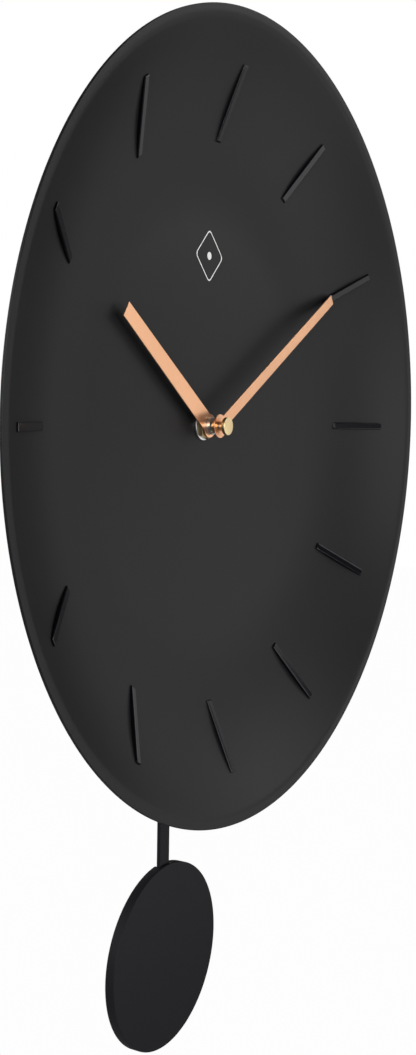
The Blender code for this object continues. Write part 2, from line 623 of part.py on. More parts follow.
def make_case_front():
    """Moulded tub, open at the back, with a compartment for the wheels and one for the battery."""
    back = -COVER_SHEET - GAP
    half = CASE_HALF_WIDTH
    outline = rounded_box(-half, half, CASE_BOTTOM, CASE_TOP, CASE_CORNER)
    case = plate("case_front", [outline], back, CASE_FRONT, "case_plastic")
    inner = half - CASE_WALL
    low, high = PARTITION
    beyond = 1 * MM
    room = rounded_box(-inner, inner, CASE_BOTTOM + CASE_WALL, low, 1.6 * MM)
    wheel_room = plate("wheel_room", [room], beyond, INNER_FRONT, None)
    bay = rounded_box(-inner + 0.4 * MM, inner - 0.4 * MM, high, CASE_TOP - CASE_WALL, 0.8 * MM, 2)
    battery_bay = plate("battery_bay", [bay], beyond, -16.2 * MM, None)
    combine(case, [wheel_room, battery_bay], "DIFFERENCE")
    joins = [
        pin(f"case_boss_{i + 1}", BOSS_RADIUS, -3.0 * MM, INNER_FRONT - 0.2 * MM, None, x=x, z=z, steps=12)
        for i, (x, z) in enumerate(SCREW_PLACES)
    ]
    for i, (x, z) in enumerate(POST_PLACES):
        joins.append(stepped_post(f"case_post_{i + 1}", x, z))
    boss_front = INNER_FRONT - 0.2 * MM
    joins.append(pin("pivot_boss", 2.2 * MM, -12.9 * MM, boss_front, None, z=PIVOT_HEIGHT, steps=20))
    combine(case, joins, "UNION")
    front_bore = INNER_FRONT - BORE_DEPTH
    bores = [pin("bush_hole", BUSH_RADIUS + GAP, -10 * MM, CASE_FRONT - 1 * MM, None, steps=24)]
    staffs = {"intermediate": INTERMEDIATE, "third": THIRD, "fifth": FIFTH, "rotor": ROTOR}
    for name, (x, z) in staffs.items():
        bores.append(pin(f"{name}_bore", STAFF_RADIUS + GAP, -17 * MM, front_bore, None, x=x, z=z, steps=12))
    bores.append(pin("knob_bore", 1.1 * MM, -17 * MM, front_bore, None, x=KNOB[0], z=KNOB[1], steps=12))
    pivot_hole = PIVOT_RADIUS + GAP
    bores.append(pin("pivot_bore", pivot_hole, -12 * MM, front_bore, None, z=PIVOT_HEIGHT, steps=12))
    for i, (x, z) in enumerate(SCREW_PLACES):
        bores.append(pin(f"screw_bore_{i + 1}", SCREW_RADIUS + GAP, 0, -10 * MM, None, x=x, z=z, steps=12))
    bores.append(box_tool("arm_slot", (-7.6 * MM, 7.6 * MM), (-10.0 * MM, -4.8 * MM), (-50 * MM, -44 * MM)))
    for i, x in enumerate(RIVET_PLACES):
        bores.append(rivet_hole(f"rivet_hole_{i + 1}", x))
    combine(case, bores, "DIFFERENCE")


def rivet_hole(name, x):
    profile = [(0, 6 * MM), (RIVET_HOLE_RADIUS, 6 * MM), (RIVET_HOLE_RADIUS, 0), (0, 0)]
    return turned(name, profile, RIVET_Y, None, x=x, z=CASE_TOP - 3 * MM, steps=12, turn=(0, 0, 0))


def make_rear_cover():
    """Flat back that rests on the wall, open behind the battery and round the setting knob."""
    half = CASE_HALF_WIDTH
    inner = half - CASE_WALL - 0.4 * MM
    loops = [
        rounded_box(-half, half, CASE_BOTTOM, CASE_TOP, CASE_CORNER),
        rounded_box(-inner, inner, PARTITION[1], CASE_TOP - CASE_WALL, 0.8 * MM, 2),
        circle(KNOB_RADIUS + 0.5 * MM, ROUND_STEPS, *KNOB),
    ]
    cover = plate("rear_cover", loops, 0, -COVER_SHEET, "case_plastic")
    boss = pin("cover_boss", 2.2 * MM, -0.6 * MM, -5.4 * MM, None, z=PIVOT_HEIGHT, steps=20)
    combine(cover, [boss], "UNION")
    holes = [pin("cover_bore", PIVOT_RADIUS + GAP, -1.1 * MM, -7 * MM, None, z=PIVOT_HEIGHT, steps=12)]
    for i, (x, z) in enumerate(SCREW_PLACES):
        head, shank = SCREW_HEAD_RADIUS + GAP, SCREW_RADIUS + GAP
        profile = [(0, 3 * MM), (shank, 3 * MM), (shank, 2.1 * MM), (head, 1.1 * MM), (head, 0), (0, 0)]
        holes.append(turned(f"countersink_{i + 1}", profile, 1 * MM, None, x=x, z=z, steps=12))
    combine(cover, holes, "DIFFERENCE")


def make_cover_screws():
    """Countersunk screws that hold the rear cover, flush with it."""
    for i, (x, z) in enumerate(SCREW_PLACES):
        end = SCREW_LENGTH
        profile = [
            (0, end), (SCREW_RADIUS * 0.4, end), (SCREW_RADIUS, end - 1 * MM), (SCREW_RADIUS, 1.1 * MM),
            (SCREW_HEAD_RADIUS, 0), (0, 0),
        ]
        turned(f"cover_screw_{i + 1}", profile, -0.1 * MM, "steel", x=x, z=z, steps=12)


def make_hanger():
    """Steel loop above the case, with a foot that two rivets hold on the case's top."""
    foot_low = CASE_TOP + GAP
    foot_high = foot_low + HANGER_SHEET
    back = -1.0 * MM
    half = HANGER_HALF_WIDTH
    whole = rounded_box(-half, half, foot_low, HANGER_TOP, 4 * MM)
    corners = [point for point in whole if point[1] > SLOT_LOW]  # only the upper two are rounded
    loop = [(half, foot_low)] + corners + [(-half, foot_low)]
    slot = rounded_box(-SLOT_HALF_WIDTH, SLOT_HALF_WIDTH, SLOT_LOW, SLOT_HIGH, 2.7 * MM)
    hanger = plate("hanger_bracket", [loop, slot], back, back - HANGER_SHEET, "steel")
    front, rear = -14 * MM, back - 0.2 * MM
    foot = [(-half, front), (half, front), (half, rear), (-half, rear)]
    holes = [circle(RIVET_HOLE_RADIUS, 12, x, RIVET_Y) for x in RIVET_PLACES]
    mesh = plate_mesh("hanger_foot", [foot, *holes], foot_high - foot_low)
    foot_piece = add_piece("hanger_foot", mesh, None, (0, 0, foot_low + 1e-5), (0, 0, 0))
    combine(hanger, [foot_piece], "UNION")
    for i, x in enumerate(RIVET_PLACES):
        tail = CASE_TOP - CASE_WALL + GAP / 2
        head = foot_high + GAP - tail
        profile = [
            (0, head + 0.9 * MM), (1.5 * MM, head + 0.9 * MM), (2.2 * MM, head + 0.3 * MM),
            (2.2 * MM, head), (1.0 * MM, head), (1.0 * MM, 0), (0, 0),
        ]
        turned(f"hanger_rivet_{i + 1}", profile, RIVET_Y, "steel", x=x, z=tail, steps=12, turn=(0, 0, 0))


# ---------------------------------------------------------------- pendulum


def make_drive_arm():
    """Lever that swings on the pivot pin and hangs out of the case, with a peg for the rod."""
    half = ARM_WIDTH / 2
    outline = rounded_box(-half, half, ARM_END, PIVOT_HEIGHT, 3.2 * MM)
    arm = plate("pendulum_drive_arm", [outline], ARM_BACK, ARM_FRONT, "case_plastic")
    hub = pin("arm_hub", HUB_RADIUS, HUB_BACK, HUB_FRONT, None, z=PIVOT_HEIGHT, steps=24)
    neck, lip = 1.2 * MM, 1.9 * MM
    start = ARM_FRONT + 1 * MM
    lip_back, lip_front = ROD_FRONT - 0.35 * MM, ROD_FRONT - 1.15 * MM
    profile = [
        (0, start - lip_front), (lip, start - lip_front), (lip, start - lip_back), (neck, start - lip_back),
        (neck, 0), (0, 0),
    ]
    peg = turned("rod_peg", profile, start, None, z=PEG_HEIGHT, steps=20)
    combine(arm, [hub, peg], "UNION")
    bore = pin("arm_bore", PIVOT_RADIUS + GAP, 0, -14 * MM, None, z=PIVOT_HEIGHT, steps=16)
    combine(arm, [bore], "DIFFERENCE")
    return arm


def keyhole():
    """Opening near the rod's top: the wide part passes the peg's lip, the narrow part hangs on it."""
    narrow, wide = 1.5 * MM, 2.3 * MM
    top, low = PEG_HEIGHT, PEG_HEIGHT - 4.5 * MM
    meet = math.acos(narrow / wide)
    steps = 12
    half_turn = [math.pi * i / steps for i in range(steps + 1)]
    upper = [(narrow * math.cos(a), top + narrow * math.sin(a)) for a in half_turn]
    start = math.pi - meet
    span = math.pi + 2 * meet
    lower = [start + span * i / (2 * steps) for i in range(2 * steps + 1)]
    return upper + [(wide * math.cos(a), low + wide * math.sin(a)) for a in lower]


def make_pendulum_rod():
    half = ROD_WIDTH / 2
    outline = rounded_box(-half, half, ROD_BOTTOM, ROD_TOP, 1.0 * MM, 3)
    return plate("pendulum_rod", [outline, keyhole()], ROD_BACK, ROD_FRONT, "matte_black")


def make_bob():
    """Turned cup with a weight inside it. Both are open at the top edge for the rod."""
    depth = BOB_BACK - BOB_FRONT
    edge = 0.4 * MM
    inner = BOB_RADIUS - BOB_SHEET
    profile = [
        (0, depth), (BOB_RADIUS - edge, depth), (BOB_RADIUS, depth - edge), (BOB_RADIUS, 0), (inner, 0),
        (inner, depth - BOB_SHEET), (0, depth - BOB_SHEET),
    ]
    shell = turned("bob_shell", profile, BOB_BACK, "matte_black", z=BOB_HEIGHT, steps=BOB_STEPS)
    half = ROD_WIDTH / 2 + GAP
    channel_top = BOB_HEIGHT + BOB_RADIUS + 2 * MM
    width, thick = (-half, half), (ROD_FRONT - GAP, 0)
    notch = box_tool("shell_notch", width, thick, (BOB_HEIGHT + 20 * MM, channel_top))
    combine(shell, [notch], "DIFFERENCE")
    front = BOB_FRONT + BOB_SHEET + GAP
    weight = pin("bob_weight", inner - GAP, BOB_BACK - GAP, front, "steel", z=BOB_HEIGHT, steps=BOB_STEPS)
    channel = box_tool("weight_channel", width, thick, (ROD_BOTTOM - GAP, channel_top))
    combine(weight, [channel], "DIFFERENCE")
    return [shell, weight]


def make_pendulum():
    """Everything that swings hangs on an empty at the pivot."""
    pivot = bpy.data.objects.new("pendulum_pivot", None)
    pivot.location = (0, 0, PIVOT_HEIGHT)
    CLOCK.objects.link(pivot)
    magnet = pin("drive_magnet", 4 * MM, ARM_FRONT - GAP, ARM_FRONT - GAP - 2.7 * MM, "magnet_grey",
                 z=DRIVE_HEIGHT, steps=24)
    for piece in (make_drive_arm(), magnet, make_pendulum_rod(), *make_bob()):
        piece.parent = pivot
        piece.location.z -= PIVOT_HEIGHT
    front = INNER_FRONT - 0.5 * MM
    pin("pendulum_pivot_pin", PIVOT_RADIUS, -1.4 * MM, front, "steel", z=PIVOT_HEIGHT, steps=16)
    ring("drive_coil", 7.0 * MM, 2.2 * MM, -13.5 * MM, INNER_FRONT + GAP, "enamelled_wire", z=DRIVE_HEIGHT)


make_dial_dish()
for hour in range(1, MARKER_COUNT + 1):
    make_hour_marker(hour)
make_dial_fixings()
make_threaded_bush()
make_hand("hour_hand", HOUR_HAND, FERRULE_RADIUS + GAP)
make_hand("minute_hand", MINUTE_HAND, ARBOR_RADIUS + GAP)
make_hand_fittings()
make_centre_arbor()
make_hour_wheel()
make_train()
make_setting_knob()
make_bearing_plate()
make_motor()
make_circuit_board()
make_battery()
make_battery_contacts()
make_case_front()
make_rear_cover()
make_cover_screws()
make_hanger()
make_pendulum()
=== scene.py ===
"""Looks for the pendulum wall clock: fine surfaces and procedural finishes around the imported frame.

The frame has X to the right, Z up and Y into the wall. The hands turn about the Y axis through
the origin, and the dial's rim lies in the plane y = RIM_Y. Lengths are in metres.
"""

import math

import bmesh
import bpy
from mathutils import Matrix, Vector, geometry


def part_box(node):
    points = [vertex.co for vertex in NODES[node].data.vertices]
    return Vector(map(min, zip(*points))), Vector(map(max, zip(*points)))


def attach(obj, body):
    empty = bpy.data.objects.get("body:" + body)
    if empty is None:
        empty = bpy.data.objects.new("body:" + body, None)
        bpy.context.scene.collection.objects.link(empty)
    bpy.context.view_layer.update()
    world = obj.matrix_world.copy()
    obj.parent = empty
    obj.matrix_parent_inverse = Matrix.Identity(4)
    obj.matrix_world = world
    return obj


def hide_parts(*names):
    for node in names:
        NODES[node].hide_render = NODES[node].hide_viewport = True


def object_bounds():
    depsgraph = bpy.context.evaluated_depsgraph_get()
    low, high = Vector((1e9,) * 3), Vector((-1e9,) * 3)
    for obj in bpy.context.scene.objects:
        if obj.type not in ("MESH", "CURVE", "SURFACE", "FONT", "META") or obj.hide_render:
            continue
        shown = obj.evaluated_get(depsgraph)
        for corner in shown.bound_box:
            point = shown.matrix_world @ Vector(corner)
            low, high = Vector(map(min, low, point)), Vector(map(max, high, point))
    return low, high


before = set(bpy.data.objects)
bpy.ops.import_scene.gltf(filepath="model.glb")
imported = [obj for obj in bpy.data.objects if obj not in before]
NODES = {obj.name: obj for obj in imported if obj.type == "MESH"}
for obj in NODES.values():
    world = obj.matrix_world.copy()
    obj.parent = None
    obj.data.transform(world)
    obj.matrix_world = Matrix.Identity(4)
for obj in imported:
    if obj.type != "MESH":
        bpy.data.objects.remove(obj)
CAD_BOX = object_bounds()
MM = 0.001
TURN = 2 * math.pi


# ---------------------------------------------------------------- camera


def aim_camera():
    """A camera to the left of the dial and a little above it."""
    azimuth, elevation, roll = math.radians(-59.37), math.radians(4.92), math.radians(0.95)
    target, distance = Vector((-0.0360, -0.0500, -0.0355)), 0.4795
    back = Vector((
        math.sin(azimuth) * math.cos(elevation),
        -math.cos(azimuth) * math.cos(elevation),
        math.sin(elevation),
    ))
    level = (-back).cross(Vector((0, 0, 1))).normalized()
    upright = level.cross(-back)
    right = math.cos(roll) * level + math.sin(roll) * upright
    up = -math.sin(roll) * level + math.cos(roll) * upright
    data = bpy.data.cameras.new("camera")
    data.sensor_width, data.lens = 36.0, 46.11
    data.clip_start, data.clip_end = 0.01, 60
    camera = bpy.data.objects.new("camera", data)
    place = Matrix((right, up, back)).transposed().to_4x4()
    place.translation = target + back * distance
    camera.matrix_world = place
    bpy.context.scene.collection.objects.link(camera)
    bpy.context.scene.camera = camera


# ---------------------------------------------------------------- finishes


class Nodes:
    """Short calls for building one material's node tree."""

    def __init__(self, name):
        self.material = bpy.data.materials.new(name)
        self.material.use_nodes = True
        self.tree = self.material.node_tree
        self.shader = self.tree.nodes["Principled BSDF"]
        self.coords = self.tree.nodes.new("ShaderNodeTexCoord").outputs["Object"]

    def add(self, kind, **settings):
        node = self.tree.nodes.new("ShaderNode" + kind)
        for key, value in settings.items():
            setattr(node, key, value)
        return node

    def link(self, source, target):
        if isinstance(source, (int, float, tuple)):
            target.default_value = source
        else:
            self.tree.links.new(source, target)

    def maths(self, operation, a, b=0.0):
        node = self.add("Math", operation=operation)
        self.link(a, node.inputs[0])
        self.link(b, node.inputs[1])
        return node.outputs[0]

    def scaled(self, stretch):
        node = self.add("Mapping")
        self.link(self.coords, node.inputs["Vector"])
        node.inputs["Scale"].default_value = stretch
        return node.outputs["Vector"]

    def noise(self, scale, vector=None, detail=3.0, rough=0.55):
        node = self.add("TexNoise")
        self.link(self.coords if vector is None else vector, node.inputs["Vector"])
        node.inputs["Scale"].default_value = scale
        node.inputs["Detail"].default_value = detail
        node.inputs["Roughness"].default_value = rough
        return node.outputs["Fac"]

    def spread(self, value, low, high):
        """A 0 to 1 pattern, whose middle half is stretched over low to high."""
        node = self.add("MapRange")
        self.link(value, node.inputs["Value"])
        node.inputs["From Min"].default_value = 0.25
        node.inputs["From Max"].default_value = 0.75
        node.inputs["To Min"].default_value = low
        node.inputs["To Max"].default_value = high
        return node.outputs["Result"]

    def blend(self, factor, a, b):
        node = self.add("Mix", data_type="RGBA")
        self.link(factor, node.inputs["Factor"])
        self.link(a, node.inputs[6])
        self.link(b, node.inputs[7])
        return node.outputs[2]

    def relief(self, height, distance, strength=1.0):
        node = self.add("Bump")
        self.link(height, node.inputs["Height"])
        node.inputs["Distance"].default_value = distance
        node.inputs["Strength"].default_value = strength
        self.link(node.outputs["Normal"], self.shader.inputs["Normal"])

    def set(self, **sockets):
        for key, value in sockets.items():
            self.shader.inputs[key.replace("_", " ")].default_value = value


def shade(colour, factor):
    return (*[min(1.0, c * factor) for c in colour], 1.0)


def grained(name, colour, rough, scale, depth, swing=0.05, tint=0.12, stretch=(1, 1, 1), **sockets):
    """A finish whose colour, gloss and surface all follow one fine grain and one broad cloud."""
    n = Nodes(name)
    fine = n.noise(scale, n.scaled(stretch))
    broad = n.noise(28.0, detail=2.0)
    mixed = n.maths("ADD", n.maths("MULTIPLY", fine, 0.6), n.maths("MULTIPLY", broad, 0.4))
    factor = n.spread(mixed, 0.0, 1.0)
    n.link(n.blend(factor, shade(colour, 1 - tint), shade(colour, 1 + tint)), n.shader.inputs["Base Color"])
    n.link(n.spread(mixed, rough - swing, rough + swing), n.shader.inputs["Roughness"])
    n.relief(fine, depth)
    n.set(**sockets)
    return n.material


def turned_metal(name, colour, rough, axis, lines=5200.0, depth=4e-6):
    """Lathe-turned metal: fine rings round the axis (a point and a direction) and light handling marks."""
    n = Nodes(name)
    point, along = axis
    offset = n.add("VectorMath", operation="SUBTRACT")
    n.link(n.coords, offset.inputs[0])
    offset.inputs[1].default_value = point
    cross = n.add("VectorMath", operation="CROSS_PRODUCT")
    n.link(offset.outputs[0], cross.inputs[0])
    cross.inputs[1].default_value = along
    size = n.add("VectorMath", operation="LENGTH")
    n.link(cross.outputs[0], size.inputs[0])
    dot = n.add("VectorMath", operation="DOT_PRODUCT")
    n.link(offset.outputs[0], dot.inputs[0])
    dot.inputs[1].default_value = along
    place = n.add("CombineXYZ")
    n.link(size.outputs["Value"], place.inputs["X"])
    n.link(dot.outputs["Value"], place.inputs["Y"])
    rings = n.noise(lines, place.outputs[0], detail=2.0)
    marks = n.noise(420.0, detail=4.0)
    mixed = n.maths("ADD", n.maths("MULTIPLY", rings, 0.6), n.maths("MULTIPLY", marks, 0.4))
    factor = n.spread(mixed, 0.0, 1.0)
    n.link(n.blend(factor, shade(colour, 0.86), shade(colour, 1.06)), n.shader.inputs["Base Color"])
    n.link(n.spread(mixed, rough - 0.05, rough + 0.08), n.shader.inputs["Roughness"])
    n.relief(rings, depth)
    n.set(Metallic=1.0)
    return n.material


DIAL_AXIS = ((0, 0, 0), (0, 1, 0))
COPPER = (0.86, 0.47, 0.27)
BRASS = (0.86, 0.66, 0.36)
STEEL = (0.70, 0.70, 0.72)


def make_finishes():
    paint = {"Specular_IOR_Level": 0.12}
    return {
        "dial": grained("dial_satin_paint", (0.0104, 0.0103, 0.0113), 0.40, 2600, 4e-6, 0.03, 0.10, **paint),
        "bar": grained("bar_gloss_black", (0.0035, 0.0036, 0.0050), 0.17, 1500, 3e-7, 0.03, 0.20,
                       Specular_IOR_Level=0.22),
        "copper": grained("hand_brushed_copper", COPPER, 0.36, 1500, 3e-6, 0.06, 0.07, (1.0, 0.05, 1.0),
                          Metallic=1.0, Anisotropic=0.35),
        "brass": turned_metal("turned_brass", BRASS, 0.30, DIAL_AXIS),
        "steel": turned_metal("turned_steel", STEEL, 0.32, DIAL_AXIS),
        "print": grained("pale_print", (0.80, 0.80, 0.78), 0.50, 2600, 3e-6),
        "pendulum": grained("pendulum_matte_black", (0.0082, 0.0079, 0.0098), 0.55, 2200, 8e-6, 0.04, 0.10,
                            **paint),
        "moulded": grained("moulded_black", (0.020, 0.020, 0.022), 0.52, 3200, 2.2e-5, 0.05, 0.14),
        "knob": grained("knob_plastic", (0.50, 0.50, 0.48), 0.45, 2400, 1e-5, 0.04, 0.05),
        "acetal": grained("wheel_acetal", (0.80, 0.78, 0.72), 0.42, 1800, 4e-6, 0.05, 0.04),
        "rubber": grained("washer_rubber", (0.018, 0.018, 0.018), 0.85, 2600, 1.5e-5, 0.05, 0.2),
        "board": grained("board_green", (0.02, 0.16, 0.07), 0.40, 1400, 6e-6, 0.06, 0.2),
        "jacket": grained("cell_jacket", (0.030, 0.036, 0.055), 0.28, 700, 2e-6, 0.04, 0.08),
        "jacket_band": grained("cell_band", COPPER, 0.26, 700, 2e-6, 0.04, 0.06, Metallic=1.0),
        "bright": grained("bright_plate", STEEL, 0.24, 1400, 3e-6, 0.06, 0.08, Metallic=1.0),
        "zinc": grained("zinc_plated_sheet", (0.62, 0.62, 0.63), 0.34, 900, 4e-6, 0.07, 0.10, (1, 1, 0.08),
                        Metallic=1.0),
        "wire": grained("lacquered_wire", (0.55, 0.20, 0.07), 0.30, 9000, 3e-5, 0.05, 0.15, (1, 0.02, 0.02),
                        Metallic=0.7),
        "magnet": grained("sintered_magnet", (0.12, 0.12, 0.13), 0.45, 3000, 8e-6, 0.08, 0.2, Metallic=0.6),
    }


# ---------------------------------------------------------------- mesh tools


def piece(name, mesh, finish, body, nodes=(), place=None, smooth=35.0):
    """Adds a named piece that rides on a body, takes its finish from a slot and stands for CAD nodes."""
    obj = bpy.data.objects.new(name, mesh)
    bpy.context.scene.collection.objects.link(obj)
    finishes = finish if isinstance(finish, (list, tuple)) else [finish]
    for item in finishes:
        mesh.materials.append(FINISHES[item])
    mesh.shade_smooth()
    mesh.set_sharp_from_angle(angle=math.radians(smooth))
    if place is not None:
        obj.matrix_world = place
    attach(obj, body)
    if nodes:
        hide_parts(*nodes)
    return obj


def even_normals(obj):
    modifier = obj.modifiers.new("even_normals", "WEIGHTED_NORMAL")
    modifier.keep_sharp = True
    return obj


def tidy_mesh(name, shape):
    bmesh.ops.recalc_face_normals(shape, faces=shape.faces)
    mesh = bpy.data.meshes.new(name)
    shape.to_mesh(mesh)
    shape.free()
    return mesh


def soften(points, radius, steps=4, closed=True):
    """A polyline with its corners rounded, each by no more than its sides allow."""
    out = []
    count = len(points)
    for i, here in enumerate(points):
        here = Vector(here)
        if not closed and i in (0, count - 1):
            out.append(tuple(here))
            continue
        before, after = Vector(points[i - 1]) - here, Vector(points[(i + 1) % count]) - here
        half = before.angle(after) / 2
        reach = min(radius / max(math.tan(half), 1e-6), before.length * 0.45, after.length * 0.45)
        start, end = here + before.normalized() * reach, here + after.normalized() * reach
        for k in range(steps + 1):
            t = k / steps
            out.append(tuple((1 - t) ** 2 * start + 2 * t * (1 - t) * here + t * t * end))
    return out


def lathe(name, profile, steps, x=0.0, z=0.0, closed=True, height=None):
    """A profile of (radius, y) turned round the Y axis through x, z.

    Where height(angle, radius, y) is given, it says how far the radius moves.
    """
    shape = bmesh.new()
    rings = []
    for radius, y in profile:
        if radius < 1e-7:
            rings.append([shape.verts.new((x, y, z))])
            continue
        ring = []
        for i in range(steps):
            angle = TURN * i / steps
            r = radius + (height(angle, radius, y) if height else 0.0)
            ring.append(shape.verts.new((x + r * math.sin(angle), y, z + r * math.cos(angle))))
        rings.append(ring)
    for a, b in zip(rings, rings[1:] + (rings[:1] if closed else [])):
        if len(a) == len(b) == 1:
            continue
        for i in range(steps):
            j = (i + 1) % steps
            corners = [a[i % len(a)], a[j % len(a)], b[j % len(b)], b[i % len(b)]]
            shape.faces.new(list(dict.fromkeys(corners)))
    return tidy_mesh(name, shape)


def signed_area(loop):
    return sum(a[0] * b[1] - b[0] * a[1] for a, b in zip(loop, loop[1:] + loop[:1])) / 2


def offset_loop(loop, distance):
    """A closed outline moved to its left by distance."""
    out = []
    for before, here, after in zip(loop[-1:] + loop[:-1], loop, loop[1:] + loop[:1]):
        a = (Vector(here) - Vector(before)).normalized()
        b = (Vector(after) - Vector(here)).normalized()
        normal = Vector((-a.y - b.y, a.x + b.x))
        normal /= max(normal.length_squared / 2, 0.2)
        out.append(tuple(Vector(here) + normal * distance))
    return out


def slab(name, loops, back, front, edge, rounds=3, back_edge=None):
    """A flat piece between y = back and y = front, its outlines drawn in X and Z, with rounded edges."""
    back_edge = edge if back_edge is None else back_edge
    rows = [(back_edge, back)] if back_edge else [(0.0, back)]
    for k in range(1, rounds + 1 if back_edge else 0):
        a = math.pi / 2 * k / rounds
        rows.append((back_edge * (1 - math.sin(a)), back - back_edge * (1 - math.cos(a))))
    for k in range(rounds, -1, -1):
        a = math.pi / 2 * k / rounds
        rows.append((edge * (1 - math.sin(a)), front + edge * (1 - math.cos(a))))
    shape = bmesh.new()
    ends = {0: [], len(rows) - 1: []}
    for number, loop in enumerate(loops):
        loop = [tuple(p) for p in loop]
        if (signed_area(loop) > 0) != (number == 0):
            loop.reverse()
        rings = []
        for row, (distance, y) in enumerate(rows):
            outline = offset_loop(loop, distance) if distance else loop
            rings.append([shape.verts.new((px, y, pz)) for px, pz in outline])
            if row in ends:
                ends[row].append(rings[-1])
        for a, b in zip(rings, rings[1:]):
            for i in range(len(a)):
                j = (i + 1) % len(a)
                shape.faces.new((a[i], a[j], b[j], b[i]))
    for rings in ends.values():
        flat = [v for ring in rings for v in ring]
        outlines = [[Vector((v.co.x, v.co.z, 0)) for v in ring] for ring in rings]
        for triangle in geometry.tessellate_polygon(outlines):
            shape.faces.new([flat[i] for i in triangle])
    inside_flats = [
        e for e in shape.edges
        if len(e.link_faces) == 2 and e.calc_face_angle() < 1e-4
        and all(len(f.verts) < 5 for f in e.link_faces)
    ]
    bmesh.ops.dissolve_limit(shape, angle_limit=math.radians(0.05), verts=[], edges=inside_flats)
    return tidy_mesh(name, shape)


def circle(radius, count=64, x=0.0, z=0.0, start=0.0):
    turns = [start + TURN * i / count for i in range(count)]
    return [(x + radius * math.cos(a), z + radius * math.sin(a)) for a in turns]


def rounded_box(left, right, low, high, radius, steps=8):
    return soften([(left, low), (right, low), (right, high), (left, high)], radius, steps)


def combine(obj, mesh, operation="DIFFERENCE"):
    """Cuts a mesh out of a piece, or joins it on, and keeps the result as the piece's own mesh."""
    tool = bpy.data.objects.new("tool", mesh)
    bpy.context.scene.collection.objects.link(tool)
    modifier = obj.modifiers.new("combine", "BOOLEAN")
    modifier.operation, modifier.solver, modifier.object = operation, "EXACT", tool
    graph = bpy.context.evaluated_depsgraph_get()
    made = bpy.data.meshes.new_from_object(obj.evaluated_get(graph))
    obj.modifiers.remove(modifier)
    obj.data = made
    made.name = obj.name
    bpy.data.objects.remove(tool)


def refined(name, node, finish, body, edge, angle=50.0):
    """A moulded piece that stands for a CAD node: its shape, with every sharp edge rounded."""
    shape = bmesh.new()
    shape.from_mesh(NODES[node].data)
    bmesh.ops.remove_doubles(shape, verts=shape.verts, dist=1e-6)
    bmesh.ops.dissolve_limit(shape, angle_limit=math.radians(0.5), verts=shape.verts, edges=shape.edges)
    obj = piece(name, tidy_mesh(name, shape), finish, body, [node])
    bevel = obj.modifiers.new("edges", "BEVEL")
    bevel.width, bevel.segments, bevel.limit_method = edge, 2, "ANGLE"
    bevel.angle_limit = math.radians(angle)
    return even_normals(obj)


def clock_turn(degrees, y=0.0):
    """Turns a piece drawn pointing up clockwise by degrees about the hands' axis."""
    return Matrix.Translation((0, y, 0)) @ Matrix.Rotation(math.radians(degrees), 4, "Y")


# ---------------------------------------------------------------- dial

RIM_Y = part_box("dial_dish")[0].y
DIAL_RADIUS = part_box("dial_dish")[1].x
DIAL_DEPTH = 24.6 * MM
FLAT_RADIUS, BEND_END = 75 * MM, 140 * MM
LIP_RADIUS, LIP_DEPTH = 146.5 * MM, 0.4 * MM
DIAL_SHEET = 1.2 * MM
BUSH_RADIUS = 3.5 * MM


def dial_depth(radius):
    """A flat middle, a bend that ends in a straight flank, and a lip."""
    if radius > LIP_RADIUS:
        return LIP_DEPTH * (DIAL_RADIUS - radius) / (DIAL_RADIUS - LIP_RADIUS)
    slope = (DIAL_DEPTH - LIP_DEPTH) / (LIP_RADIUS - (FLAT_RADIUS + BEND_END) / 2)
    if radius > BEND_END:
        return LIP_DEPTH + slope * (LIP_RADIUS - radius)
    past = max(0.0, radius - FLAT_RADIUS)
    return DIAL_DEPTH - slope * past**2 / (2 * (BEND_END - FLAT_RADIUS))


def soft_depth(radius, spread, count=12):
    """The same dish with its creases eased, by averaging over spread to each side."""
    room = min(spread, DIAL_RADIUS - radius)
    places = [radius + room * (2 * (i + 0.5) / count - 1) for i in range(count)]
    return sum(dial_depth(abs(place)) for place in places) / count


def at_depth(depth):
    return RIM_Y + depth


def make_dial():
    """Spun dish: the sheet's front and back, closed by a rolled rim and by the hole for the bush."""
    rings, hole, lip = 96, BUSH_RADIUS + 0.15 * MM, 0.35 * MM
    edge = DIAL_RADIUS - lip
    radii = [hole + (edge - hole) * (i / rings) ** 0.5 for i in range(rings + 1)]
    front = [(r, at_depth(soft_depth(r, 1.2 * MM))) for r in radii]
    back = [(r, y + DIAL_SHEET) for r, y in front]
    rim = soften([
        front[-1], (DIAL_RADIUS - 0.12 * MM, at_depth(0.02 * MM)), (DIAL_RADIUS, at_depth(0.25 * MM)),
        (DIAL_RADIUS, at_depth(DIAL_SHEET - 0.1 * MM)), back[-1],
    ], 0.3 * MM, 4, closed=False)[1:-1]
    mesh = lathe("spun_dial", front + rim + back[::-1], 288)
    piece("spun_dial", mesh, "dial", "root", ["dial_dish"], smooth=50)


MARKER_IN, MARKER_OUT = (106.4 * MM, 19.2 * MM), (133.2 * MM, 7.6 * MM)
MARKER_WIDTH, MARKER_CHAMFER = 3.0 * MM, 0.35 * MM


